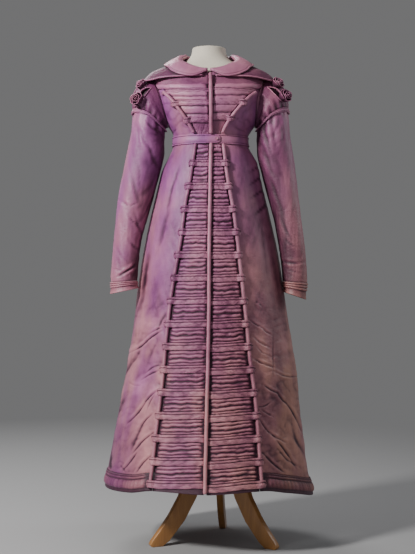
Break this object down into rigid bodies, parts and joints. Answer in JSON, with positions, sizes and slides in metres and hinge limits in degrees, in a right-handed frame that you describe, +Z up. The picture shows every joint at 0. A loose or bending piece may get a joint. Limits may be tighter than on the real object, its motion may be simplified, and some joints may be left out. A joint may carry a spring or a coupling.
{
  "type": "coat dress on a dress form stand",
  "caption": "Long high-waisted silk coat dress with ruched fronts crossed by tabs, pelerine, belt and petal oversleeves, worn on a limbless form on a wooden tripod.",
  "frame": {"origin": "on the floor, below the middle of the hem", "axes": "+Z up, the dress faces -Y, its wearer's right is -X"},
  "size_m": [0.6295, 0.626, 1.4746],
  "materials": {
    "silk": "soft sheen plum silk",
    "silk_trim": "soft sheen plum silk",
    "linen": "matte",
    "wood": "satin",
    "button": "satin"
  },
  "bodies": {
    "root": {"belt": "silk_trim", "belt_button": "button", "belt_lap": "silk_trim", "bodice_back": "silk", "bodice_front_left": "silk", "bodice_front_right": "silk", "bodice_rail_left": "silk_trim", "bodice_rail_right": "silk_trim", "bodice_rouleau": "silk_trim", "bodice_side_left": "silk", "bodice_side_right": "silk", "bodice_tabs_left": "silk_trim", "bodice_tabs_right": "silk_trim", "collar": "silk", "cuff_left": "silk", "cuff_right": "silk", "form_torso": "linen", "hem_band": "silk", "mancheron_band_left": "silk_trim", "mancheron_band_right": "silk_trim", "mancheron_left": "silk", "mancheron_right": "silk", "pelerine": "silk", "rosette_lower_left": "silk_trim", "rosette_lower_right": "silk_trim", "rosette_upper_left": "silk_trim", "rosette_upper_right": "silk_trim", "skirt_back_left": "silk", "skirt_back_right": "silk", "skirt_front_left": "silk", "skirt_front_right": "silk", "skirt_rail_left": "silk_trim", "skirt_rail_right": "silk_trim", "skirt_rouleau": "silk_trim", "skirt_ruched_panel_left": "silk", "skirt_ruched_panel_right": "silk", "skirt_tabs_left": "silk_trim", "skirt_tabs_right": "silk_trim", "sleeve_left": "silk", "sleeve_right": "silk", "stand_leg_1": "wood", "stand_leg_2": "wood", "stand_leg_3": "wood", "stand_post": "wood"}
  },
  "joints": []
}
